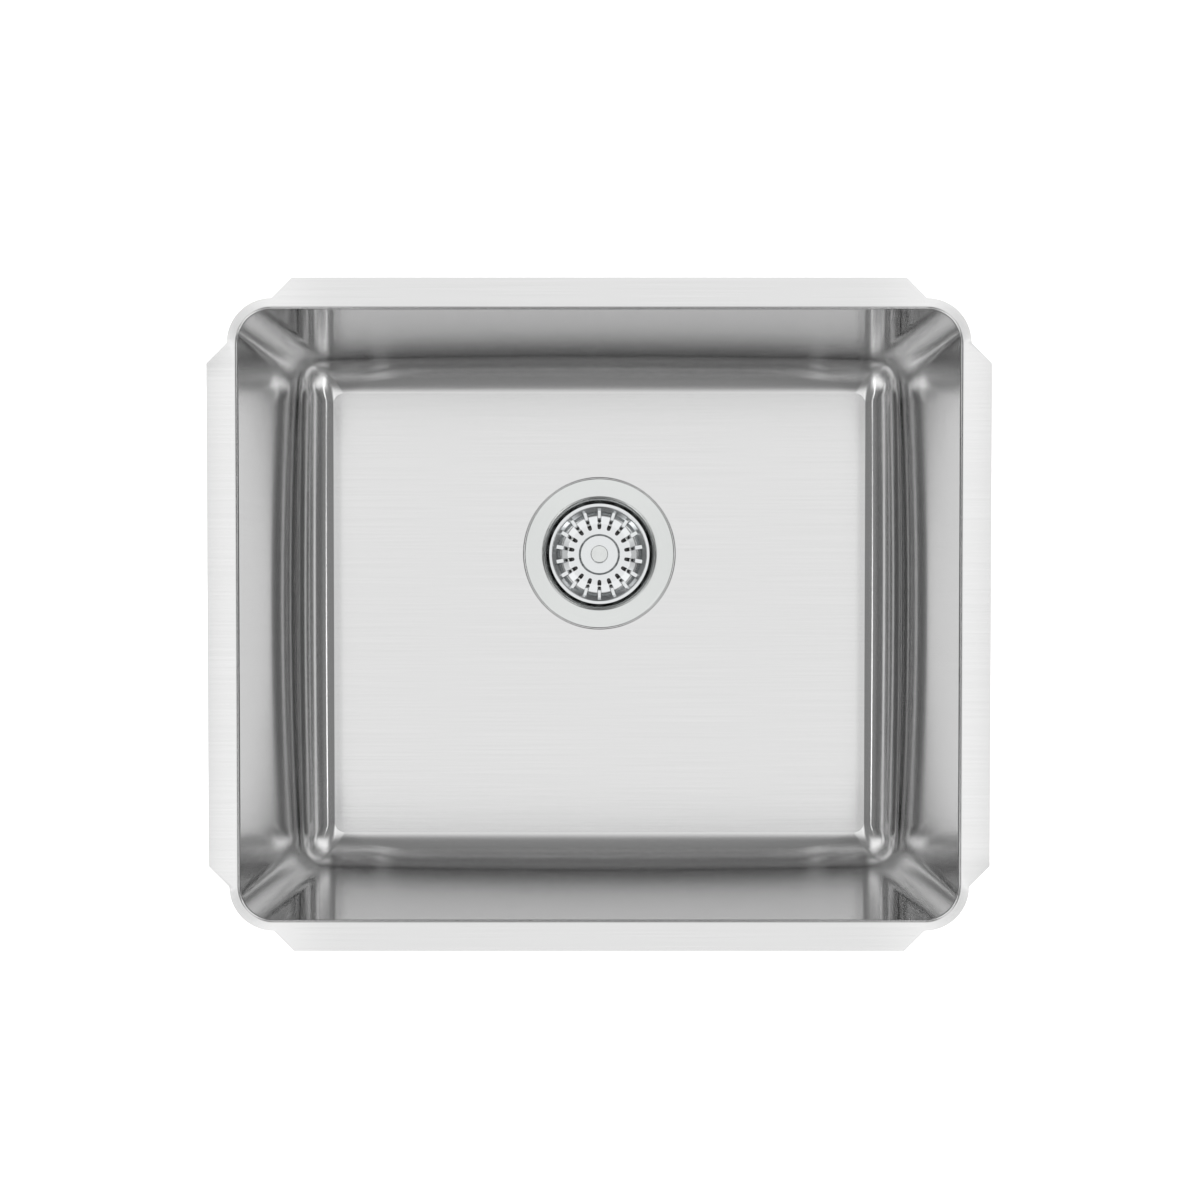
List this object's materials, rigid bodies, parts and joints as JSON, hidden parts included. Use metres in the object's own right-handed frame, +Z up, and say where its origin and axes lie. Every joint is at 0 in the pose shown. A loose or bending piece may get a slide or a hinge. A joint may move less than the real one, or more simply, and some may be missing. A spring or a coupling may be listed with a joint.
{
  "type": "undermount kitchen sink",
  "caption": "Single-bowl undermount kitchen sink in brushed stainless steel, with a flat clipped-corner flange, a rear-set drain and a removable basket strainer.",
  "frame": {"origin": "centre of the bowl's opening on the top face of the flange, the face that meets the underside of the counter", "axes": "+X along the sink's length to the user's right, +Y to the rear, +Z up out of the bowl"},
  "size_m": [0.5, 0.43, 0.365],
  "materials": {
    "brushed_stainless": "satin brushed along the sheet",
    "polished_stainless": "polished",
    "turned_stainless": "fine turned satin",
    "cast_zinc": "die-cast, dull grey",
    "chromed_brass": "chrome-plated tube and nut",
    "pad_rubber": "matt sheet rubber",
    "black_rubber": "moulded, satin",
    "gasket_foam": "closed-cell foam",
    "fibre": "pressed fibre",
    "white_polyethylene": "moulded, translucent white"
  },
  "bodies": {
    "root": {"sink_bowl": "brushed_stainless", "sound_pad_floor_left": "pad_rubber", "sound_pad_floor_right": "pad_rubber", "sound_pad_left": "pad_rubber", "sound_pad_right": "pad_rubber", "sound_pad_front": "pad_rubber", "sound_pad_rear": "pad_rubber", "strainer_body": "polished_stainless", "flange_gasket": "gasket_foam", "under_sink_gasket": "black_rubber", "friction_washer": "fibre", "locknut": "cast_zinc", "socket_bridge": "polished_stainless", "tailpiece_washer": "white_polyethylene", "tailpiece": "chromed_brass", "coupling_nut": "chromed_brass"},
    "stopper": {"basket_stem": "turned_stainless", "basket_knob": "turned_stainless", "retaining_clip": "turned_stainless", "seal_backing_washer": "polished_stainless", "stopper_seal": "black_rubber", "stem_nut": "turned_stainless"},
    "basket": {"strainer_basket": "polished_stainless"}
  },
  "joints": [
    {"name": "basket_lift", "type": "slide", "parent": "root", "child": "stopper", "axis": [0, 0, 1], "range_m": [0, 0.09]},
    {"name": "basket_spin", "type": "hinge", "parent": "stopper", "child": "basket", "pos_m": [0, 0.046, -0.2294], "axis": [0, 0, 1], "continuous": true}
  ]
}
